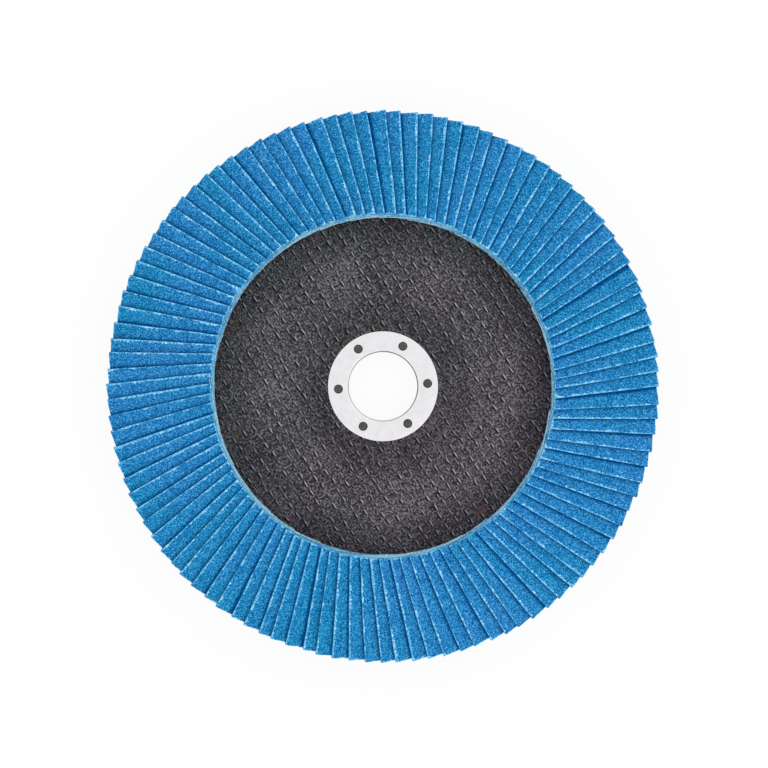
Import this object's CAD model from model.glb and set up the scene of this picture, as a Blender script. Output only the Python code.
# %% [markdown]
# # A flap disc, built piece by piece
#
# A flap disc is a grinding tool: a stiff plate of glass mesh and resin with a sunk hub,
# a steel ring in its bore, and over a hundred short pieces of abrasive cloth that lean
# on one another all the way round its rim. The measured solids come in first, as the
# frame that everything else is built to. Then each piece is made again with the detail
# that a workshop drawing leaves out: woven relief, cut and frayed edges, grit.

import math
import random

import bmesh
import bpy
from mathutils import Euler, Matrix, Vector, noise


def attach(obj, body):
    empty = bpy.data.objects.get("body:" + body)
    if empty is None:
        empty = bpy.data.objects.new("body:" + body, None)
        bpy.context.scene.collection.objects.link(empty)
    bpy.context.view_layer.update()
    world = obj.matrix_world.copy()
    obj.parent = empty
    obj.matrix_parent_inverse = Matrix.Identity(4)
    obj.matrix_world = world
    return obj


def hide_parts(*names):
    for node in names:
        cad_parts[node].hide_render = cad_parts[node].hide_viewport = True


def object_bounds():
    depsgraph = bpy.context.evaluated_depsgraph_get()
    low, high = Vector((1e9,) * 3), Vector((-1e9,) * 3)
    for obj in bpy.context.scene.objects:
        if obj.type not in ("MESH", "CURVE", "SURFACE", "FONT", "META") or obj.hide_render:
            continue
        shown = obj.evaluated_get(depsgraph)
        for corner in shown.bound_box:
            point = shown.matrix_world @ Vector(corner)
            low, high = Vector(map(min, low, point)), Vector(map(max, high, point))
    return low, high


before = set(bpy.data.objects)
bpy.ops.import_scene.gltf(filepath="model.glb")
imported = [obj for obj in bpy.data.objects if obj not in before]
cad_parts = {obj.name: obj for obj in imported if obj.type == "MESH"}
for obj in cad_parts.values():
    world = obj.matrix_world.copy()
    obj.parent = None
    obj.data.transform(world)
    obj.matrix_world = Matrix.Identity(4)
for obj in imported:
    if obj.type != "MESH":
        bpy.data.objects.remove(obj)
cad_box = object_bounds()
MM = 0.001
print("nodes in the frame:", len(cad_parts))
print("box of the solids in mm:", [round(c / MM, 2) for corner in cad_box for c in corner])

# %% [markdown]
# ## The sizes that the pieces share
#
# These are the disc's own working sizes, in millimetres, with angles in radians. The
# plate, the ring, the flaps and the adhesive all read them, so the pieces nest in one
# another as they do on the real disc.

# %% Sizes of the disc
PLATE_THICKNESS = 3.0
HUB_FACE = PLATE_THICKNESS
HUB_CORNER = 24.5
CROWN_RADIUS = 30.7
CROWN_HEIGHT = 8.4
PLATE_RADIUS = 83.0
SLOPE = math.radians(10)
BORE_RADIUS = 11.115
FLANGE_RADIUS = 17.85
SHEET = 0.5
RING_FACE = 3.15
RING_CLEARANCE = 0.05
FLAP_COUNT = 108
FLAP_LENGTH = 35.0
FLAP_WIDTH = 23.0
FLAP_THICKNESS = 1.0
BOND_GAP = 0.02
PITCH = 2 * math.pi / FLAP_COUNT
print("flap pitch in degrees:", round(math.degrees(PITCH), 3))


def cone_height(radius):
    """Height of the rim's front face at a distance from the axis."""
    return CROWN_HEIGHT - (radius - CROWN_RADIUS) * math.tan(SLOPE)


def blend(value, low, high):
    """0 below low, 1 above high, and a soft S-curve between them."""
    t = min(1.0, max(0.0, (value - low) / (high - low)))
    return t * t * (3 - 2 * t)


# %% [markdown]
# ## Turning a bmesh into a finished piece
#
# Every piece ends the same way. Its mesh is scaled from millimetres to metres, so that
# the object itself can stay at the origin, unturned and unscaled. It then rides on the
# disc's one body, and says which finish it wears and which solids it stands for.

# %% Finish a piece
def finish_piece(name, bm, materials, nodes=()):
    """Makes a bmesh in mm an object in metres, and tells the frame what it is."""
    bmesh.ops.scale(bm, vec=(MM, MM, MM), verts=bm.verts)
    mesh = bpy.data.meshes.new(name)
    bm.to_mesh(mesh)
    bm.free()
    piece = bpy.data.objects.new(name, mesh)
    bpy.context.scene.collection.objects.link(piece)
    for material in materials:
        mesh.materials.append(material)
    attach(piece, "root")
    if nodes:
        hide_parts(*nodes)
    return piece


def smooth_faces(bm, crease_deg=35):
    """Shades every face smoothly, but keeps edges sharper than the crease crisp."""
    for face in bm.faces:
        face.smooth = True
    for edge in bm.edges:
        if len(edge.link_faces) == 2:
            edge.smooth = edge.calc_face_angle(0) < math.radians(crease_deg)


# %% [markdown]
# ## Camera
#
# The disc is shown square on, looking down its axis on to the abrasive side. A long
# lens a metre away keeps the bore's wall and the rim from spreading.

# %% Camera straight above the disc
lens_mm = 150
sensor_mm = 36
pixels_across = 768
pixels_per_mm = 3.095
widest_height = 6.2 * MM
aim = (0.32 * MM, 0.74 * MM)
camera_data = bpy.data.cameras.new("camera")
camera_data.lens = lens_mm
camera_data.sensor_width = sensor_mm
camera_distance = lens_mm / sensor_mm * pixels_across / pixels_per_mm * MM
camera = bpy.data.objects.new("camera", camera_data)
camera.location = (*aim, widest_height + camera_distance)
bpy.context.scene.collection.objects.link(camera)
bpy.context.scene.camera = camera
print("camera distance in metres:", round(camera_distance, 3))

# %% [markdown]
# ## Floor, room and lamps
#
# The disc lies on a plain white floor in an even, bright room, with four soft boxes
# round it, each 1.25 m out and 0.95 m up. Light that comes in from the sides leaves the
# gaps between the flaps dark, which is what makes them readable; the two boxes on the
# right are the stronger ones. The floor's material gives the camera a clean white, and
# keeps a share of plain shading so that the disc's own shadow still shows on it.

# %% Shader node helpers
def add_node(tree, kind, inputs=None, **settings):
    """Adds a shader node. Inputs are values, or the output sockets to link in."""
    node = tree.nodes.new("ShaderNode" + kind)
    for key, value in settings.items():
        setattr(node, key, value)
    for socket, value in (inputs or {}).items():
        if isinstance(value, bpy.types.NodeSocket):
            tree.links.new(value, node.inputs[socket])
        else:
            node.inputs[socket].default_value = value
    return node


def calc(tree, operation, *values, clamp=False):
    """One math node's result."""
    node = add_node(tree, "Math", dict(enumerate(values)), operation=operation, use_clamp=clamp)
    return node.outputs[0]


def rescale(tree, value, start, end, low=0.0, high=1.0):
    """Takes a value from the range start to end over to low to high, and no further."""
    sockets = {"Value": value, "From Min": start, "From Max": end, "To Min": low, "To Max": high}
    return add_node(tree, "MapRange", sockets).outputs[0]


def seen_directly(tree):
    """1 for what the camera, a mirror or a lens sees of a surface, 0 for its light."""
    path = add_node(tree, "LightPath").outputs
    either = calc(tree, "MAXIMUM", path["Is Camera Ray"], path["Is Glossy Ray"])
    return calc(tree, "MAXIMUM", either, path["Is Transmission Ray"])


# %% White floor that keeps the shadow
FLOOR_GLOW = 0.92
FLOOR_HALF_SIZE = 3.0
floor_paint = bpy.data.materials.new("white_floor")
floor_paint.use_nodes = True
tree = floor_paint.node_tree
tree.nodes.clear()
plain = add_node(tree, "BsdfDiffuse", {"Color": (0.9, 0.9, 0.9, 1)})
glow = add_node(tree, "Emission", {"Color": (1, 1, 1, 1), "Strength": 1.0})
share = calc(tree, "MULTIPLY", seen_directly(tree), FLOOR_GLOW)
mixed = add_node(tree, "MixShader", {0: share, 1: plain.outputs[0], 2: glow.outputs[0]})
add_node(tree, "OutputMaterial", {"Surface": mixed.outputs[0]})

bm = bmesh.new()
bmesh.ops.create_grid(bm, x_segments=4, y_segments=4, size=FLOOR_HALF_SIZE)
bmesh.ops.translate(bm, vec=(0, 0, cad_box[0].z), verts=bm.verts)
floor_mesh = bpy.data.meshes.new("floor")
bm.to_mesh(floor_mesh)
bm.free()
floor = bpy.data.objects.new("floor", floor_mesh)
floor_mesh.materials.append(floor_paint)
bpy.context.scene.collection.objects.link(floor)
print("floor height in mm:", round(cad_box[0].z / MM, 2))

# %% Even room light
world = bpy.data.worlds.new("bright_room")
bpy.context.scene.world = world
world.use_nodes = True
tree = world.node_tree
tree.nodes.clear()
ROOM_STRENGTH = 0.62
strength = rescale(tree, seen_directly(tree), 0.0, 1.0, ROOM_STRENGTH, 1.0)
sky = add_node(tree, "Background", {"Color": (1, 1, 1, 1), "Strength": strength})
add_node(tree, "OutputWorld", {"Surface": sky.outputs[0]})


def soft_lamp(name, place, size, watts):
    """A square soft box that faces the disc."""
    data = bpy.data.lights.new(name, "AREA")
    data.size = size
    data.energy = watts
    lamp = bpy.data.objects.new(name, data)
    lamp.location = place
    lamp.rotation_euler = (-Vector(place)).to_track_quat("-Z", "Y").to_euler()
    bpy.context.scene.collection.objects.link(lamp)


LAMP_OUT = 1.25
LAMP_UP = 0.95
LAMP_SIZE = 0.9
# Degrees round the axis, and watts.
lamp_watts = {-45: 6.2, 45: 5.9, 135: 3.5, 225: 4.3}
for number, (turn, watts) in enumerate(lamp_watts.items(), start=1):
    place = Vector((LAMP_OUT, 0, LAMP_UP))
    place.rotate(Euler((0, 0, math.radians(turn))))
    soft_lamp(f"softbox_{number}", place, LAMP_SIZE, watts)
bpy.context.scene.view_settings.view_transform = "Standard"
print("soft boxes:", len(lamp_watts), "with", round(sum(lamp_watts.values()), 1), "watts in all")

# %% [markdown]
# ## Effects that several finishes share
#
# A node group is a small tool that is built once and used in many materials, each time
# with its own values. **Mottle** gives the soft and fine variation that every worked
# surface has. **Edge wear** says where grit is chipped off and yarns are bare, in small
# chips and in longer stretches. **Leno mesh** draws the open glass weave of the plate:
# pairs of warp yarns twist round each weft, so the yarn comes up as a short raised dash
# at every crossing, beside a pit where the resin sank into the opening.

# %% Group helpers
def new_group(name, inputs, outputs):
    """A shader group. Its inputs are (name, kind, value), its outputs (name, kind)."""
    group = bpy.data.node_groups.new(name, "ShaderNodeTree")
    for label, kind, value in inputs:
        socket = group.interface.new_socket(label, in_out="INPUT", socket_type="NodeSocket" + kind)
        if kind == "Float":
            socket.default_value = value
    for label, kind in outputs:
        group.interface.new_socket(label, in_out="OUTPUT", socket_type="NodeSocket" + kind)
    return group, group.nodes.new("NodeGroupInput").outputs, group.nodes.new("NodeGroupOutput")


def use_group(tree, group, inputs):
    """Places a group in a material with its own values."""
    return add_node(tree, "Group", inputs, node_tree=group).outputs


def noise_value(tree, place, scale, detail=1.0):
    """Soft noise from 0 to 1. A larger scale makes finer noise."""
    return add_node(tree, "TexNoise", {"Vector": place, "Scale": scale, "Detail": detail}).outputs[0]


# %% Mottle group
mottle, given, result = new_group(
    "mottle",
    [("Vector", "Vector", None), ("Scale", "Float", 300.0), ("Spread", "Float", 0.5)],
    [("Value", "Float")],
)
broad = noise_value(mottle, given["Vector"], given["Scale"], 3.0)
fine_scale = calc(mottle, "MULTIPLY", given["Scale"], 6.0)
fine = noise_value(mottle, given["Vector"], fine_scale, 2.0)
centred = calc(mottle, "SUBTRACT", calc(mottle, "ADD", broad, fine), 1.0)
mottle.links.new(calc(mottle, "MULTIPLY", centred, given["Spread"]), result.inputs["Value"])
print("mottle:", len(mottle.nodes), "nodes")

# %% Edge wear group
edge_wear, given, result = new_group(
    "edge_wear",
    [("Vector", "Vector", None)],
    [("Chips", "Float"), ("Stretches", "Float")],
)
for label, scale in (("Chips", 1300.0), ("Stretches", 210.0)):
    edge_wear.links.new(noise_value(edge_wear, given["Vector"], scale), result.inputs[label])
print("edge wear:", len(edge_wear.nodes), "nodes")

# %% Dashes and pits of the mesh
def vector_calc(tree, operation, first, second):
    """One vector math node's outputs. Second is the factor where the operation is SCALE."""
    key = "Scale" if operation == "SCALE" else 1
    return add_node(tree, "VectorMath", {0: first, key: second}, operation=operation).outputs


def soft_spot(tree, across, along, half_width, half_length):
    """1 over most of an oval, falling to 0 at its rim."""
    a = calc(tree, "POWER", calc(tree, "ABSOLUTE", calc(tree, "DIVIDE", across, half_width)), 2.0)
    b = calc(tree, "POWER", calc(tree, "ABSOLUTE", calc(tree, "DIVIDE", along, half_length)), 2.0)
    dome = calc(tree, "SUBTRACT", 1.0, calc(tree, "ADD", a, b))
    return calc(tree, "MULTIPLY", dome, 2.5, clamp=True)


def dash_and_pit(tree, across, along, strength, aside, dash_size, pit_size):
    """A raised dash, and the pit that lies beside it. A size is (half width, half length)."""
    dash = calc(tree, "MULTIPLY", soft_spot(tree, across, along, *dash_size), strength)
    beside = calc(tree, "ADD", across, aside)
    pit = calc(tree, "MULTIPLY", soft_spot(tree, beside, along, *pit_size), strength)
    return dash, pit


CELL_NUDGE = 0.22


def weave_cells(tree, vector, crowd, seed):
    """Place within each crossing's cell (across, along) and three random numbers for it."""
    shifted = vector_calc(tree, "ADD", vector, (seed, seed * 0.7, 0))["Vector"]
    scaled = vector_calc(tree, "SCALE", shifted, crowd)["Vector"]
    parts = add_node(tree, "SeparateXYZ", {0: scaled}).outputs
    cell = [calc(tree, "ROUND", parts[i]) for i in range(2)]
    key = add_node(tree, "CombineXYZ", {0: cell[0], 1: cell[1], 2: seed}).outputs[0]
    dice = add_node(tree, "TexWhiteNoise", {"Vector": key}, noise_dimensions="3D")
    rolls = add_node(tree, "SeparateColor", {0: dice.outputs["Color"]}).outputs
    place = []
    for i in range(2):
        within = calc(tree, "SUBTRACT", parts[i], cell[i])
        nudge = calc(tree, "MULTIPLY", calc(tree, "SUBTRACT", rolls[i], 0.5), CELL_NUDGE)
        place.append(calc(tree, "SUBTRACT", within, nudge))
    return place, rolls


# %% Leno mesh group
WARP_STEP = 3.8
WEFT_STEP = 3.5
WARP_ANGLE = math.radians(33.5)
WEFT_ANGLE = math.radians(121.5)
leno, given, result = new_group(
    "leno_mesh",
    [("Vector", "Vector", None), ("Wander", "Float", 0.25)],
    [("Dash", "Float"), ("Pit", "Float"), ("Relief", "Float")],
)
wander = add_node(leno, "TexNoise", {"Vector": given["Vector"], "Scale": 90.0, "Detail": 1.0})
centred = vector_calc(leno, "SUBTRACT", wander.outputs["Color"], (0.5, 0.5, 0.5))["Vector"]
axes = []
for step, angle in ((WARP_STEP, WARP_ANGLE), (WEFT_STEP, WEFT_ANGLE)):
    direction = (math.cos(angle) / (step * MM), math.sin(angle) / (step * MM), 0)
    axes.append(vector_calc(leno, "DOT_PRODUCT", given["Vector"], direction)["Value"])
flat = add_node(leno, "CombineXYZ", {0: axes[0], 1: axes[1]}).outputs[0]
push = vector_calc(leno, "SCALE", centred, given["Wander"])["Vector"]
woven = vector_calc(leno, "ADD", flat, push)["Vector"]

# Warp yarns, one dash to a crossing.
(across, along), rolls = weave_cells(leno, woven, 1.0, 0.0)
strength = calc(leno, "MULTIPLY_ADD", rolls[2], 0.9, 0.3, clamp=True)
big_dash, big_pit = dash_and_pit(leno, across, along, strength, 0.14, (0.06, 0.36), (0.085, 0.34))

# Weft yarns, so across and along change places.
(across, along), rolls = weave_cells(leno, woven, 1.0, 2.5)
strength = calc(leno, "MULTIPLY", rolls[2], 0.5)
weft_dash, weft_pit = dash_and_pit(leno, along, across, strength, 0.12, (0.05, 0.24), (0.07, 0.24))

# Stray strands, at twice the pace of the yarns.
(across, along), rolls = weave_cells(leno, woven, 2.0, 5.3)
strength = calc(leno, "POWER", rolls[2], 1.5)
small_dash, small_pit = dash_and_pit(leno, across, along, strength, 0.22, (0.09, 0.28), (0.12, 0.26))

dash = calc(leno, "MAXIMUM", big_dash, calc(leno, "MULTIPLY", small_dash, 0.7))
dash = calc(leno, "MAXIMUM", dash, weft_dash)
pit = calc(leno, "MAXIMUM", calc(leno, "MAXIMUM", big_pit, small_pit), weft_pit)
relief = calc(leno, "SUBTRACT", dash, pit)
leno.links.new(dash, result.inputs["Dash"])
leno.links.new(pit, result.inputs["Pit"])
leno.links.new(relief, result.inputs["Relief"])
print("leno mesh:", len(leno.nodes), "nodes")


# %% [markdown]
# ## Finishes
#
# Each finish starts from one small function that makes a material with a Principled
# shader. Its colour is ramped between darker and lighter tones by a pattern, and the
# same pattern gives the surface its bumps.

# %% Material helpers
def new_finish(name, roughness, **sockets):
    """A material, its node tree, its Principled shader and its Object coordinates."""
    material = bpy.data.materials.new(name)
    material.use_nodes = True
    tree = material.node_tree
    tree.nodes.clear()
    shader = add_node(tree, "BsdfPrincipled", {"Roughness": roughness, **sockets})
    add_node(tree, "OutputMaterial", {"Surface": shader.outputs[0]})
    here = add_node(tree, "TexCoord").outputs["Object"]
    return material, tree, shader, here


def tones(tree, value, stops):
    """Colour for a value: stops are (place, (red, green, blue))."""
    ramp = add_node(tree, "ValToRGB", {"Fac": value})
    ramp.color_ramp.elements[0].position = stops[0][0]
    ramp.color_ramp.elements[0].color = (*stops[0][1], 1)
    ramp.color_ramp.elements[1].position = stops[-1][0]
    ramp.color_ramp.elements[1].color = (*stops[-1][1], 1)
    for place, colour in stops[1:-1]:
        element = ramp.color_ramp.elements.new(place)
        element.color = (*colour, 1)
    return ramp.outputs[0]


def mix_colour(tree, factor, first, second):
    """The first colour where the factor is 0, the second where it is 1."""
    if not isinstance(second, bpy.types.NodeSocket):
        second = (*second, 1)
    return add_node(tree, "Mix", {0: factor, 6: first, 7: second}, data_type="RGBA").outputs[2]


def tint(tree, base, by):
    """A colour multiplied by another."""
    node = add_node(tree, "Mix", {0: 1.0, 6: base, 7: by}, data_type="RGBA", blend_type="MULTIPLY")
    return node.outputs[2]


def from_axis(tree, here):
    """Distance from the disc's axis in mm."""
    flat = vector_calc(tree, "MULTIPLY", here, (1 / MM, 1 / MM, 0))["Vector"]
    return add_node(tree, "VectorMath", {0: flat}, operation="LENGTH").outputs["Value"]


def vertex_value(tree, name):
    """A value that the mesh keeps at its vertices under a name."""
    return add_node(tree, "Attribute", attribute_name=name).outputs["Fac"]


def bump(tree, height, depth_mm, after=None):
    """A normal from a height that runs from 0 to 1 over the depth, on top of another."""
    node = add_node(tree, "Bump", {"Height": height, "Distance": depth_mm * MM, "Strength": 1.0})
    if after:
        tree.links.new(after, node.inputs["Normal"])
    return node.outputs[0]


# %% [markdown]
# The plate's skin is black phenolic resin over the glass mesh. Where a yarn comes up it
# is greyer and catches light, and in the pits it is almost black. Close to the flaps the
# resin is stained brown in patches.

# %% Plate finish
plate_finish, tree, shader, here = new_finish("mesh_and_resin", 0.5, **{"Specular IOR Level": 0.12})
weave = use_group(tree, leno, {"Vector": here, "Wander": 0.3})
crust = noise_value(tree, here, 1500.0)
clouds = noise_value(tree, here, 75.0, 2.0)
middle = calc(tree, "MULTIPLY_ADD", clouds, 0.4, 0.3)
level = calc(tree, "MULTIPLY_ADD", calc(tree, "SUBTRACT", crust, 0.5), 1.7, middle)
resin_tones = [(0.1, (0.006, 0.0055, 0.007)), (0.5, (0.068, 0.062, 0.071)), (0.9, (0.26, 0.245, 0.265))]
resin = tones(tree, level, resin_tones)
raised = mix_colour(tree, weave["Dash"], resin, (0.5, 0.48, 0.5))
skin = mix_colour(tree, calc(tree, "MULTIPLY", weave["Pit"], 0.95), raised, (0.004, 0.004, 0.005))

# %% Shade, hue and stain across the plate
RAMP_REACH = 60.0
radius = calc(tree, "DIVIDE", from_axis(tree, here), RAMP_REACH)
greys = ((0.36, 0.5), (0.48, 0.75), (0.68, 0.78), (0.77, 0.6), (0.9, 0.66))
soaked = tones(tree, radius, [(place, (grey, grey, grey)) for place, grey in greys])
cast = noise_value(tree, here, 28.0)
sideways = vector_calc(tree, "DOT_PRODUCT", here, (2.5, -5.0, 0))["Value"]
cast = calc(tree, "ADD", cast, sideways)
hue = tones(tree, cast, [(0.3, (0.95, 1.015, 0.98)), (0.7, (1.04, 0.97, 1.03))])
skin = tint(tree, tint(tree, skin, soaked), hue)
stain = calc(tree, "MULTIPLY_ADD", noise_value(tree, here, 240.0, 2.0), 4.0, -2.3, clamp=True)
zone = tones(tree, radius, [(0.78, (0, 0, 0)), (0.86, (1, 1, 1)), (0.94, (1, 1, 1)), (0.98, (0, 0, 0))])
skin = mix_colour(tree, calc(tree, "MULTIPLY", stain, zone), skin, (0.11, 0.038, 0.03))
tree.links.new(skin, shader.inputs["Base Color"])
crumbs = bump(tree, crust, 0.1)
tree.links.new(bump(tree, weave["Relief"], 0.2, crumbs), shader.inputs["Normal"])
print(plate_finish.name, "has", len(tree.nodes), "nodes")

# %% [markdown]
# The ring is zinc-plated sheet steel: pale, satin, with faint handling specks. The
# rolled mouth of the bore is rubbed dark, most of all on one side.

# %% Ring finish
ring_finish, tree, shader, here = new_finish("zinc_plated_sheet", 0.48, Metallic=0.6)
speck = use_group(tree, mottle, {"Vector": here, "Scale": 420.0, "Spread": 0.8})["Value"]
level = calc(tree, "ADD", speck, 0.5)
plated = tones(tree, level, [(0.15, (0.66, 0.65, 0.665)), (0.85, (0.79, 0.78, 0.795))])
inside = rescale(tree, from_axis(tree, here), BORE_RADIUS + 0.42, BORE_RADIUS + 0.2)
spot = add_node(tree, "SeparateXYZ", {0: here}).outputs
high = rescale(tree, spot[2], 2.2 * MM, 2.4 * MM)
side = calc(tree, "ADD", calc(tree, "MULTIPLY", spot[0], 0.8), calc(tree, "MULTIPLY", spot[1], 0.6))
uneven = rescale(tree, side, -8 * MM, 8 * MM, 0.35, 1.0)
rubbed = calc(tree, "MULTIPLY", calc(tree, "MULTIPLY", inside, high), uneven)
plated = mix_colour(tree, rubbed, plated, (0.1, 0.1, 0.105))
tree.links.new(plated, shader.inputs["Base Color"])
tree.links.new(bump(tree, speck, 0.02), shader.inputs["Normal"])
print(ring_finish.name, "has", len(tree.nodes), "nodes")

# %% [markdown]
# The adhesive is a dark cured epoxy, glossy where it was squeezed out. The same resin
# stands in the ring's six anchor holes.

# %% Adhesive finish
adhesive_finish, tree, shader, here = new_finish("cured_epoxy", 0.28)
speck = use_group(tree, mottle, {"Vector": here, "Scale": 350.0, "Spread": 0.7})["Value"]
level = calc(tree, "ADD", speck, 0.5)
dark = tones(tree, level, [(0.2, (0.014, 0.0135, 0.0145)), (0.85, (0.074, 0.071, 0.074))])
rim = vertex_value(tree, "rim")
dark = mix_colour(tree, rim, dark, (0.006, 0.006, 0.007))
tree.links.new(dark, shader.inputs["Base Color"])
tree.links.new(bump(tree, speck, 0.08), shader.inputs["Normal"])
print(adhesive_finish.name, "has", len(tree.nodes), "nodes")

# %% [markdown]
# The abrasive cloth has three sides to it. Its face is blue grit set in blue resin. Along
# the free edge and the ends the grit is broken away in stretches, where pale cloth shows,
# and in the gap before the next flap it is darker. Its cut edges show the cloth's pale
# yarns near the face, and the darker filling resin that soaked into them from behind. At
# a flap's inner end the yarns are bare in streaks, and each flap has its own shade there.
# Its back is the cloth itself, stained blue.

# %% Grit face
grit_finish, tree, shader, here = new_finish("blue_grit", 0.7, **{"Specular IOR Level": 0.04})
grains = add_node(tree, "TexVoronoi", {"Vector": here, "Scale": 3000.0, "Randomness": 1.0}).outputs
dice = add_node(tree, "SeparateColor", {0: grains["Color"]}).outputs[0]
drift = noise_value(tree, here, 2600.0)
level = calc(tree, "MULTIPLY_ADD", calc(tree, "SUBTRACT", dice, 0.5), 0.4, drift)
blue = tones(
    tree,
    level,
    [
        (0.2, (0.001, 0.074, 0.25)),
        (0.4, (0.005, 0.165, 0.42)),
        (0.6, (0.024, 0.28, 0.62)),
        (0.8, (0.12, 0.52, 0.9)),
    ],
)
cast = noise_value(tree, here, 32.0)
hue = tones(tree, cast, [(0.38, (0.75, 1.02, 0.96)), (0.62, (1.2, 0.98, 1.03))])
in_gap = tones(tree, vertex_value(tree, "to_next"), [(0.05, (0.01, 0.46, 0.63)), (0.8, (1, 1, 1))])
blue = tint(tree, tint(tree, blue, hue), in_gap)

# %% Worn edge of the grit
wear = use_group(tree, edge_wear, {"Vector": here})
chips, stretches = wear["Chips"], wear["Stretches"]
reach = calc(tree, "MULTIPLY_ADD", stretches, 1.4, calc(tree, "MULTIPLY_ADD", chips, 0.8, -0.8))
past_edge = calc(tree, "SUBTRACT", reach, vertex_value(tree, "from_edge"))
worn = rescale(tree, past_edge, -0.1, 0.12)
cloth_tones = [(0.35, (0.05, 0.37, 0.75)), (0.52, (0.13, 0.53, 0.93)), (0.7, (0.46, 0.86, 1.0))]
bared = tones(tree, chips, cloth_tones)
face = mix_colour(tree, worn, blue, bared)
tree.links.new(face, shader.inputs["Base Color"])
height = calc(tree, "SUBTRACT", 1.0, grains["Distance"])
tree.links.new(bump(tree, height, 0.15), shader.inputs["Normal"])
print(grit_finish.name, "has", len(tree.nodes), "nodes")

# %% Cut edge
cut_finish, tree, shader, here = new_finish("cut_cloth_edge", 0.85, **{"Specular IOR Level": 0.04})
wear = use_group(tree, edge_wear, {"Vector": here})
frays, stretches = wear["Chips"], wear["Stretches"]
bareness = calc(tree, "MULTIPLY_ADD", stretches, 1.4, calc(tree, "MULTIPLY_ADD", frays, 0.9, -0.77))
yarn_tones = [(0.15, (0.04, 0.34, 0.66)), (0.42, (0.15, 0.56, 0.93)), (0.78, (0.56, 0.92, 1.0))]
yarns = tones(tree, bareness, yarn_tones)
shade = vertex_value(tree, "shade")
level = calc(tree, "MULTIPLY_ADD", frays, 0.9, calc(tree, "MULTIPLY_ADD", shade, 0.35, -0.225))
level = calc(tree, "MULTIPLY_ADD", stretches, 0.2, level)
streak_tones = [(0.33, (0.08, 0.33, 0.56)), (0.5, (0.25, 0.58, 0.87)), (0.68, (0.52, 0.88, 1.0))]
inner_end = vertex_value(tree, "inner_end")
yarns = mix_colour(tree, inner_end, yarns, tones(tree, level, streak_tones))

# %% Resin that soaked in from behind
through = vertex_value(tree, "through")
depth = calc(tree, "MULTIPLY_ADD", frays, 0.5, calc(tree, "SUBTRACT", 0.4, through))
elsewhere = calc(tree, "MULTIPLY_ADD", inner_end, -2.0, 1.0, clamp=True)
stained = calc(tree, "MULTIPLY", rescale(tree, depth, -0.05, 0.2), elsewhere)
edge = mix_colour(tree, stained, yarns, (0.003, 0.095, 0.28))
tree.links.new(edge, shader.inputs["Base Color"])
tree.links.new(bump(tree, frays, 0.25), shader.inputs["Normal"])
print(cut_finish.name, "has", len(tree.nodes), "nodes")

# %% Cloth back
back_finish, tree, shader, here = new_finish("cloth_back", 0.85)
speck = use_group(tree, mottle, {"Vector": here, "Scale": 300.0, "Spread": 0.8})["Value"]
twill = add_node(
    tree, "TexWave", {"Vector": here, "Scale": 520.0, "Distortion": 1.5, "Detail": 1.0},
    wave_type="BANDS", bands_direction="DIAGONAL",
).outputs[0]
level = calc(tree, "MULTIPLY_ADD", twill, 0.4, calc(tree, "ADD", speck, 0.3))
cloth = tones(tree, level, [(0.1, (0.05, 0.16, 0.28)), (0.9, (0.2, 0.36, 0.5))])
tree.links.new(cloth, shader.inputs["Base Color"])
tree.links.new(bump(tree, twill, 0.08), shader.inputs["Normal"])
print(back_finish.name, "has", len(tree.nodes), "nodes")

# %% [markdown]
# ## Backing plate
#
# The plate is pressed from discs of resin-soaked glass mesh and baked in a mould, so it
# is one bent section turned about the axis. Its corners are drawn sharp and rounded with
# a vertex bevel, the long runs are subdivided, and a full spin makes the body. The mesh
# then shows through the skin as real relief: every vertex of the front and back faces
# moves along Z by the height of the woven yarns under it.

# %% Helpers for a turned section
def wire(bm, points):
    """A closed line of edges in the XZ plane through points given as (radius, height)."""
    dots = [bm.verts.new((radius, 0, height)) for radius, height in points]
    for pair in zip(dots, dots[1:] + dots[:1]):
        bm.edges.new(pair)


def round_corner(bm, place, radius, segments):
    """Rounds the corner of a wire that lies at (radius, height) with an arc of a radius."""
    corner = min(bm.verts, key=lambda v: (v.co - Vector((place[0], 0, place[1]))).length)
    first, second = [edge.other_vert(corner).co - corner.co for edge in corner.link_edges]
    turn = math.pi - first.angle(second)
    bmesh.ops.bevel(
        bm,
        geom=[corner],
        offset=radius * math.tan(turn / 2),
        offset_type="OFFSET",
        segments=segments,
        profile=0.5,
        affect="VERTICES",
        material=-1,
    )


def divide_runs(bm, longest):
    """Halves the edges of a wire until none is longer than is allowed at its middle."""
    while True:
        long_edges = [
            e for e in bm.edges if e.calc_length() > longest((e.verts[0].co + e.verts[1].co) / 2)
        ]
        if not long_edges:
            return
        bmesh.ops.subdivide_edges(bm, edges=long_edges, cuts=1)


MERGE_DISTANCE = 0.0005


def turn_about_axis(bm, steps):
    """Spins a wire once round the Z axis into a closed body."""
    bmesh.ops.spin(
        bm,
        geom=bm.verts[:] + bm.edges[:],
        cent=(0, 0, 0),
        axis=(0, 0, 1),
        angle=2 * math.pi,
        steps=steps,
        use_merge=True,
    )
    bmesh.ops.remove_doubles(bm, verts=bm.verts, dist=MERGE_DISTANCE)
    bmesh.ops.recalc_face_normals(bm, faces=bm.faces)


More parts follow.
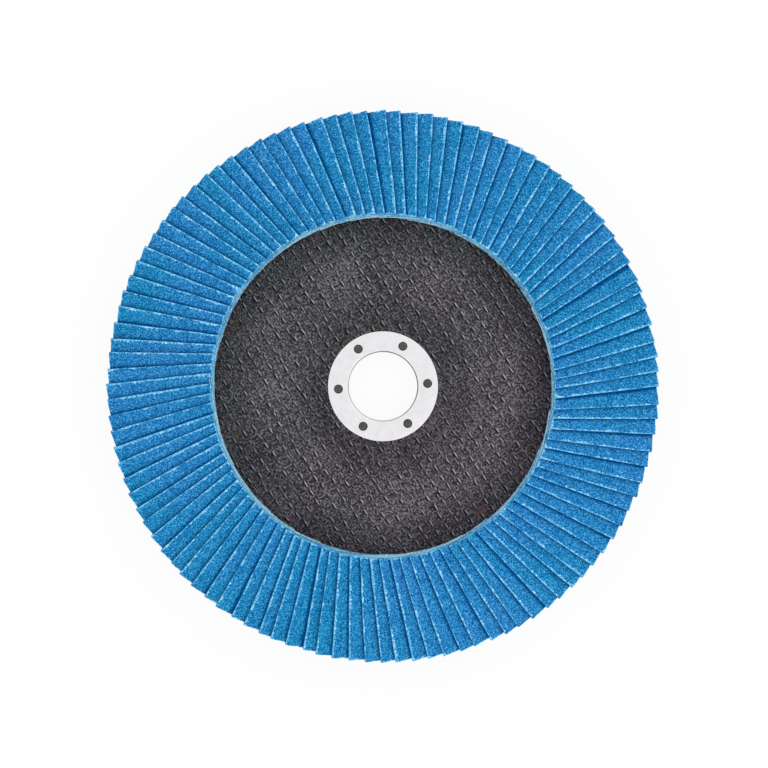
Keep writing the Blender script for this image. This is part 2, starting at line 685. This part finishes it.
# %% Section of the plate
wall = math.atan2(CROWN_HEIGHT - HUB_FACE, CROWN_RADIUS - HUB_CORNER)
half_turn = (wall + SLOPE) / 2
half_tilt = (wall - SLOPE) / 2
hub_back = (HUB_CORNER + PLATE_THICKNESS * math.tan(wall / 2), 0)
crown_back = (
    CROWN_RADIUS + PLATE_THICKNESS * math.sin(half_tilt) / math.cos(half_turn),
    CROWN_HEIGHT - PLATE_THICKNESS * math.cos(half_tilt) / math.cos(half_turn),
)
rim_front = (PLATE_RADIUS, cone_height(PLATE_RADIUS))
rim_back = (
    PLATE_RADIUS - PLATE_THICKNESS * math.sin(SLOPE),
    rim_front[1] - PLATE_THICKNESS * math.cos(SLOPE),
)
collar = BORE_RADIUS + SHEET + RING_CLEARANCE
seat = RING_FACE - SHEET - RING_CLEARANCE
section = [
    (collar, seat),
    (FLANGE_RADIUS + RING_CLEARANCE, seat),
    (FLANGE_RADIUS + RING_CLEARANCE, HUB_FACE),
    (HUB_CORNER, HUB_FACE),
    (CROWN_RADIUS, CROWN_HEIGHT),
    rim_front,
    rim_back,
    crown_back,
    hub_back,
    (collar, 0),
]
print("plate section:", len(section), "corners")

# %% Round its corners
HUB_BEND = 5.0
CROWN_BEND = 7.0
FRONT_RIM_BEND = 0.3
BACK_RIM_BEND = 0.5
bm = bmesh.new()
wire(bm, section)
for place, radius, segments in (
    ((HUB_CORNER, HUB_FACE), HUB_BEND, 7),
    ((CROWN_RADIUS, CROWN_HEIGHT), CROWN_BEND, 12),
    (crown_back, CROWN_BEND - PLATE_THICKNESS, 6),
    (hub_back, HUB_BEND + PLATE_THICKNESS, 7),
    (rim_front, FRONT_RIM_BEND, 2),
    (rim_back, BACK_RIM_BEND, 2),
):
    round_corner(bm, place, radius, segments)
print("plate section:", len(bm.verts), "points once its corners are round")

# %% Turn the plate
RELIEF_END = 57.0
CROWN_STEP = 0.85
HUB_AND_BACK_STEP = 1.6
HIDDEN_STEP = 5.0
PLATE_COLUMNS = 480


def plate_step(middle):
    """The crown gets the closest rings, the hub and back wider ones, the hidden rim fewest."""
    if middle.z < cone_height(middle.x) - PLATE_THICKNESS / 2:
        return HUB_AND_BACK_STEP
    return CROWN_STEP if middle.x < RELIEF_END else HIDDEN_STEP


divide_runs(bm, plate_step)
turn_about_axis(bm, PLATE_COLUMNS)
print("plate:", len(bm.faces), "faces")


# %% Woven relief
def bell(distance, width):
    """A smooth hump: 1 in the middle, almost 0 at twice its width."""
    return math.exp(-((distance / width) ** 2))


def weave_height(x, y, seed):
    """Relative height of the mesh under the resin, from -0.4 in a pit to 1.3 on a yarn."""
    a = (x * math.cos(WARP_ANGLE) + y * math.sin(WARP_ANGLE)) / WARP_STEP
    b = (x * math.cos(WEFT_ANGLE) + y * math.sin(WEFT_ANGLE)) / WEFT_STEP
    a += 0.12 * noise.noise(Vector((x * 0.09, y * 0.09, seed)))
    b += 0.12 * noise.noise(Vector((x * 0.09, y * 0.09, seed + 9)))
    column, row = round(a), round(b)
    across = (a - column) * WARP_STEP
    along = (b - row) * WEFT_STEP
    lift = 0.6 + 0.4 * noise.cell(Vector((column + 0.5, row + 0.5, seed)))
    yarn = bell(across, 0.55) * (0.35 + lift * bell(along, 1.1))
    weft = 0.45 * bell(along, 0.7) * (1 - bell(across, 0.8))
    hollow = 0.8 * bell(across + 1.2, 0.6) * bell(along, 1.0)
    return yarn + weft - hollow


# %% Move the skin of the plate
FRONT_RELIEF, FRONT_LEVEL = 0.08, 0.2
BACK_RELIEF, BACK_LEVEL = 0.1, 0.9
front_start = FLANGE_RADIUS + 0.6
back_start = collar + 0.5
for v in bm.verts:
    x, y = v.co.xy
    radius = math.hypot(x, y)
    if v.normal.z > 0.5 and front_start < radius < RELIEF_END:
        fade = blend(radius, front_start, FLANGE_RADIUS + 2.0)
        fade *= 1 - blend(radius, RELIEF_END - 2, RELIEF_END)
        v.co.z += fade * FRONT_RELIEF * (weave_height(x, y, 0.0) - FRONT_LEVEL)
    elif v.normal.z < -0.5 and radius > back_start:
        fade = blend(radius, back_start, collar + 2.0) * (1 - blend(radius, 80.0, 82.0))
        v.co.z -= fade * BACK_RELIEF * (weave_height(x, y, 30.0) - BACK_LEVEL)
heights = [v.co.z for v in bm.verts]
print("plate runs from", round(min(heights), 2), "to", round(max(heights), 2), "mm in height")
smooth_faces(bm, crease_deg=50)
finish_piece("backing_plate_woven", bm, [plate_finish], ["backing_plate"])

# %% [markdown]
# ## Bore ring
#
# The ring is an eyelet, drawn from steel sheet: a flat flange that rolls over into a
# short collar. Its section is a bent strip, spun into a body, and the six anchor holes
# are cut out with one Boolean, because a spin can't make holes off its axis.

# %% Turn the eyelet
MOUTH_ROLL = 0.7
RING_COLUMNS = 192
bm = bmesh.new()
wire(
    bm,
    [
        (FLANGE_RADIUS, RING_FACE),
        (BORE_RADIUS, RING_FACE),
        (BORE_RADIUS, 0),
        (BORE_RADIUS + SHEET, 0),
        (BORE_RADIUS + SHEET, RING_FACE - SHEET),
        (FLANGE_RADIUS, RING_FACE - SHEET),
    ],
)
for place, radius, segments in (
    ((FLANGE_RADIUS, RING_FACE), 0.15, 3),
    ((BORE_RADIUS, RING_FACE), MOUTH_ROLL, 6),
    ((BORE_RADIUS, 0), 0.1, 2),
    ((BORE_RADIUS + SHEET, 0), 0.1, 2),
    ((BORE_RADIUS + SHEET, RING_FACE - SHEET), 0.2, 2),
    ((FLANGE_RADIUS, RING_FACE - SHEET), 0.1, 2),
):
    round_corner(bm, place, radius, segments)
turn_about_axis(bm, RING_COLUMNS)
ring_body = bpy.data.meshes.new("ring_body")
bm.to_mesh(ring_body)
bm.free()
print("ring before its holes:", len(ring_body.polygons), "faces")

# %% Cut the anchor holes
ANCHORS = 6
ANCHOR_CIRCLE = (BORE_RADIUS + FLANGE_RADIUS) / 2
ANCHOR_HOLE = 1.47
FIRST_ANCHOR = math.radians(3.6)
PUNCH_LENGTH = 4
anchor_places = [
    Matrix.Rotation(FIRST_ANCHOR + i * 2 * math.pi / ANCHORS, 4, "Z") @ Vector((ANCHOR_CIRCLE, 0, 0))
    for i in range(ANCHORS)
]
bm = bmesh.new()
for place in anchor_places:
    bmesh.ops.create_cone(
        bm,
        cap_ends=True,
        segments=32,
        radius1=ANCHOR_HOLE,
        radius2=ANCHOR_HOLE,
        depth=PUNCH_LENGTH,
        matrix=Matrix.Translation(place + Vector((0, 0, RING_FACE))),
    )
punches = bpy.data.meshes.new("punches")
bm.to_mesh(punches)
bm.free()
blank = bpy.data.objects.new("ring_blank", ring_body)
punch = bpy.data.objects.new("ring_punch", punches)
for part in (blank, punch):
    bpy.context.scene.collection.objects.link(part)
cut = blank.modifiers.new("holes", "BOOLEAN")
cut.operation = "DIFFERENCE"
cut.object = punch
cut.solver = "EXACT"
bpy.context.view_layer.update()
punched = bpy.data.meshes.new_from_object(blank.evaluated_get(bpy.context.evaluated_depsgraph_get()))
bm = bmesh.new()
bm.from_mesh(punched)
for part in (blank, punch):
    bpy.data.objects.remove(part)
smooth_faces(bm)
ring = finish_piece("bore_ring_eyelet", bm, [ring_finish], ["bore_ring"])
print("ring:", len(ring.data.polygons), "faces")

# %% [markdown]
# Resin fills the anchor holes when the plate is pressed. Each plug is a shallow dome
# that has shrunk a little below the flange: a disc, inset three times and raised a
# tenth of a millimetre each time. Its outline carries a value that its finish darkens.

# %% Resin in the anchor holes
PLUG_CLEARANCE = 0.02
PLUG_DEPTH = 0.46
PLUG_WALL = 0.2
bm = bmesh.new()
for place in anchor_places:
    bmesh.ops.create_circle(
        bm,
        cap_ends=True,
        segments=24,
        radius=ANCHOR_HOLE - PLUG_CLEARANCE,
        matrix=Matrix.Translation(place + Vector((0, 0, RING_FACE - PLUG_DEPTH))),
    )
faces = list(bm.faces)
for _ in range(3):
    bmesh.ops.inset_individual(bm, faces=faces, thickness=0.3, depth=0.1)
bmesh.ops.recalc_face_normals(bm, faces=bm.faces)
rim = bm.verts.layers.float.new("rim")
for v in bm.verts:
    v[rim] = 1.0 if v.is_boundary else 0.0
walls = bmesh.ops.extrude_edge_only(bm, edges=[e for e in bm.edges if e.is_boundary])
feet = [g for g in walls["geom"] if isinstance(g, bmesh.types.BMVert)]
bmesh.ops.translate(bm, vec=(0, 0, -PLUG_WALL), verts=feet)
smooth_faces(bm, crease_deg=60)
resin = finish_piece("anchor_resin", bm, [adhesive_finish])
print("anchor resin:", len(resin.data.polygons), "faces")

# %% [markdown]
# ## The stack of flaps
#
# Each flap is a strip of cloth that spans four of its neighbours' steps at the rim, and
# nearly seven at its inner end, so what shows is only a narrow band by its free edge.
# Flaps that lean on one another can't cross: at any distance from the axis, each lies
# one cloth thickness and a little air above the one before it. So the height of a flap's
# underside grows evenly with the angle from its low edge, which makes a very slightly
# twisted and arched surface, as real flaps have. The outline may then be nudged and
# frayed at will, because the nest holds everywhere.

# %% The shape the flaps share
ROOT_AIR = 0.1
TIP_AIR = 0.4
BED_THICKNESS = 0.6
DISC_RADIUS = 89.5
tip_lean = math.asin((FLAP_THICKNESS + TIP_AIR) / (PITCH * DISC_RADIUS))
tip_rise = BED_THICKNESS + FLAP_WIDTH * math.sin(tip_lean) + FLAP_THICKNESS * math.cos(tip_lean)
tip_reach = math.sqrt(DISC_RADIUS**2 - (FLAP_WIDTH / 2 * math.cos(tip_lean)) ** 2)
OUTER_END = tip_reach - tip_rise * math.sin(SLOPE)
INNER_END = OUTER_END - FLAP_LENGTH * math.cos(SLOPE)


def flap_air(radius):
    """Air between neighbours, which fan open towards the rim."""
    t = min(1.0, max(0.0, (radius - INNER_END) / (OUTER_END - INNER_END)))
    return ROOT_AIR + t * (TIP_AIR - ROOT_AIR)


def flap_lean(radius):
    """Angle at which a flap leans on the one before it."""
    return math.asin((FLAP_THICKNESS + flap_air(radius)) / (PITCH * radius))


def stack_rise(radius):
    """How much higher each flap lies than the one before it, straight up."""
    return (FLAP_THICKNESS + flap_air(radius)) / math.cos(flap_lean(radius))


def low_edge_angle(radius):
    """Angle about the axis from a flap's middle to its low edge."""
    return math.asin(min(0.9, FLAP_WIDTH / 2 * math.cos(flap_lean(radius)) / radius))


def rise_on_cone(x, y):
    """Height above the plate's rim of the underside of the flap centred on +X."""
    radius = math.hypot(x, y)
    steps = (low_edge_angle(radius) - math.atan2(y, x)) / PITCH
    return BED_THICKNESS + steps * stack_rise(radius)


print("flaps run from", round(INNER_END, 2), "to", round(OUTER_END, 2), "mm")

# %% [markdown]
# No two flaps are cut, laid and worn alike. So each one draws a small turn, a slide along
# its length, a skew, a curl, an amount of wear and a shade. The generator has a fixed
# seed, so the disc comes out the same each time.

# %% How one flap differs from the rest
def draw_habits(rng):
    """One flap's own turn, slide, skew, curl, wear and shade, drawn in that order."""
    limit = math.radians(0.4)
    turn = math.radians(rng.gauss(0, 0.19))
    return {
        "turn": max(-limit, min(limit, turn)),
        "slide": rng.gauss(0, 0.1),
        "skew": rng.gauss(0, 0.0035),
        "curl": rng.uniform(0.15, 0.55),
        "wear": rng.uniform(-0.1, 0.12),
        "shade": rng.uniform(0.0, 1.0),
    }


print("habits of a flap:", ", ".join(draw_habits(random.Random(0))))

# %% [markdown]
# A flap starts as a flat grid, with closer lines towards the free edge, where it shows.
# The grid is then laid on the shared surface. The free edge wanders by a tenth of a
# millimetre and curls up unevenly by up to half of one. The inner end is bowed, with its
# free corner reaching in a little further than the rest.

# %% Lay one flap
STEPS_ALONG = 64
STEPS_ACROSS = 16
END_ALLOWANCE = 0.2
END_SETBACK = 0.3
END_BOW = 0.75
CORNER_REACH = 0.7
CORNER_SPAN = 9.0
LOOSE_BAND = 2.2
LAYERS = ("through", "from_edge", "to_next", "inner_end", "free_rim", "shade")


def ripple(seed, along, size):
    """Smooth wander along an edge, between about -1 and 1."""
    return noise.noise(Vector((along / size, seed * 7.31, 4.7)))


def lay_flap(bm, layers, number, habits):
    """Moves a flat grid on to one flap's underside, and notes what its finishes read."""
    for v in bm.verts:
        along = (v.co.x + 1) / 2
        across = (v.co.y + 1) / 2
        inward = FLAP_WIDTH * (0.12 * across + 0.88 * across**3)
        run = along * (FLAP_LENGTH - END_ALLOWANCE)
        foot = INNER_END + habits["slide"] + run * math.cos(SLOPE)
        bow = END_BOW * (1 - (2 * inward / FLAP_WIDTH - 1) ** 2) + END_SETBACK
        corner = CORNER_REACH * (1 - blend(inward, 0.0, CORNER_SPAN))
        foot += (bow - corner) * (1 - along) ** 4
        loose = 1 - blend(inward, 0.0, LOOSE_BAND)
        wander = 0.10 * ripple(number, run, 5.0) + 0.05 * ripple(number + 300, run, 1.1)
        y = (inward - FLAP_WIDTH / 2) * math.cos(flap_lean(foot))
        y += loose * wander + habits["skew"] * (run - FLAP_LENGTH / 2)
        if along in (0, 1):
            foot += 0.08 * ripple(number + 600, inward, 0.9)
        spun = Vector((foot + rise_on_cone(foot, y) * math.sin(SLOPE), y, 0))
        spun.rotate(Euler((0, 0, habits["turn"])))
        height = cone_height(math.hypot(spun.x, spun.y)) + rise_on_cone(spun.x, spun.y)
        raised = 1 - blend(inward, 0.0, PITCH * foot * 0.8)
        raised *= 0.45 + 0.55 * abs(ripple(number + 900, run, 9.0))
        v.co = (spun.x, spun.y, height + habits["curl"] * raised)
        v[layers["from_edge"]] = min(inward, run, FLAP_LENGTH - run) - habits["wear"]
        v[layers["to_next"]] = PITCH * foot / math.cos(flap_lean(foot)) - inward
        v[layers["inner_end"]] = 0.3 + 0.7 * blend(inward, 3.0, 9.0) if along == 0 else 0.0
        v[layers["free_rim"]] = 1.0 if across == 0 else 0.0
        v[layers["shade"]] = habits["shade"]


# %% [markdown]
# Solidify gives the flap its thickness, and its faces are sorted into grit, cut edge and
# cloth back by the way they point. Then the rim of the grit side is broken down: along
# the free edge, where the guillotine sheared the grit off, and at the inner end.

# %% Thicken one flap
GRIT, CUT, BACK = range(3)
FREE_RIM_DROP = 0.16
FREE_RIM_WAVE = 0.08
END_RIM_SHIFT = 0.08


def thicken_flap(bm, layers):
    """Solidifies a laid flap, marks the grit side's vertices and sorts the faces."""
    bmesh.ops.recalc_face_normals(bm, faces=bm.faces)
    if bm.faces[0].normal.z < 0:
        bmesh.ops.reverse_faces(bm, faces=bm.faces)
    bmesh.ops.solidify(bm, geom=bm.faces[:], thickness=-FLAP_THICKNESS)
    bmesh.ops.recalc_face_normals(bm, faces=bm.faces)
    for face in bm.faces:
        up = face.normal.z
        face.material_index = GRIT if up > 0.5 else BACK if up < -0.5 else CUT
        if up > 0.5:
            for v in face.verts:
                v[layers["through"]] = 1.0


def break_rims(bm, layers, number):
    """Lowers the grit side's rim along the free edge, and sets it back at the inner end."""
    for v in bm.verts:
        on_top = v[layers["through"]] > 0.5
        if on_top and v[layers["free_rim"]] > 0.5:
            v.co.z -= FREE_RIM_DROP + FREE_RIM_WAVE * ripple(number + 1200, v.co.x, 1.3)
        if on_top and v[layers["inner_end"]] > 0.0:
            v.co += Vector((END_RIM_SHIFT, 0, -END_RIM_SHIFT * math.tan(SLOPE)))


def make_flap(number, habits):
    """One flap as a bmesh in mm, at its place in the ring."""
    bm = bmesh.new()
    layers = {name: bm.verts.layers.float.new(name) for name in LAYERS}
    bmesh.ops.create_grid(bm, x_segments=STEPS_ALONG, y_segments=STEPS_ACROSS, size=1)
    lay_flap(bm, layers, number, habits)
    thicken_flap(bm, layers)
    break_rims(bm, layers, number)
    place = Matrix.Rotation(number * PITCH, 3, "Z")
    bmesh.ops.rotate(bm, cent=(0, 0, 0), matrix=place, verts=bm.verts)
    return bm


# %% [markdown]
# The flaps are filed two to a piece, as the solids are. An edge between two finishes is
# kept crisp, so the grit side doesn't shade into the cut edge.

# %% All the flaps
rng = random.Random(108)
finishes = [grit_finish, cut_finish, back_finish]
flap_faces = 0
for pair in range(FLAP_COUNT // 2):
    both = bmesh.new()
    for number in (2 * pair, 2 * pair + 1):
        flap = make_flap(number, draw_habits(rng))
        single = bpy.data.meshes.new("flap")
        flap.to_mesh(single)
        flap.free()
        both.from_mesh(single)
        bpy.data.meshes.remove(single)
    smooth_faces(both, crease_deg=40)
    for edge in both.edges:
        if len({face.material_index for face in edge.link_faces}) > 1:
            edge.smooth = False
    flap_faces += len(both.faces)
    label = f"{pair + 1:02d}"
    finish_piece(f"flaps_{label}", both, finishes, [f"flap_pair_{label}"])
print("faces in all the flaps:", flap_faces)

# %% [markdown]
# ## Adhesive bed
#
# The flaps stand in a bead of epoxy. It takes the print of their undersides: a ring of
# ramps, one under each flap, with a step at each low edge. The bead is a spun band with
# six rows of vertices to a flap, and the rows are moved on to the ramps.

# %% Mould the bed under the flaps
BED_IN = INNER_END + 3.0
BED_OUT = PLATE_RADIUS - 4.0
BED_STEP = 3.0
BLANK_HEIGHT = 1.0
ROWS_PER_FLAP = 6
bm = bmesh.new()
wire(
    bm,
    [
        (BED_IN, cone_height(BED_IN) + BOND_GAP),
        (BED_IN, cone_height(BED_IN) + BLANK_HEIGHT),
        (BED_OUT, cone_height(BED_OUT) + BLANK_HEIGHT),
        (BED_OUT, cone_height(BED_OUT) + BOND_GAP),
    ],
)
divide_runs(bm, lambda middle: BED_STEP)
turn_about_axis(bm, FLAP_COUNT * ROWS_PER_FLAP)
for v in bm.verts:
    radius = math.hypot(v.co.x, v.co.y)
    row = round(math.atan2(v.co.y, v.co.x) / (PITCH / ROWS_PER_FLAP))
    flap_number, place = divmod(row, ROWS_PER_FLAP)
    up_ramp = 1 - place / (ROWS_PER_FLAP - 1)
    angle = low_edge_angle(radius) + (flap_number - up_ramp) * PITCH
    top = v.co.z > cone_height(radius) + BLANK_HEIGHT / 2
    v.co.x = radius * math.cos(angle)
    v.co.y = radius * math.sin(angle)
    if top:
        v.co.z = cone_height(radius) + BED_THICKNESS - BOND_GAP + up_ramp * stack_rise(radius)
bmesh.ops.remove_doubles(bm, verts=bm.verts, dist=MERGE_DISTANCE)
bmesh.ops.recalc_face_normals(bm, faces=bm.faces)
smooth_faces(bm, crease_deg=30)
bed = finish_piece("adhesive_bead", bm, [adhesive_finish], ["adhesive_bed"])
print("bed:", len(bed.data.polygons), "faces")
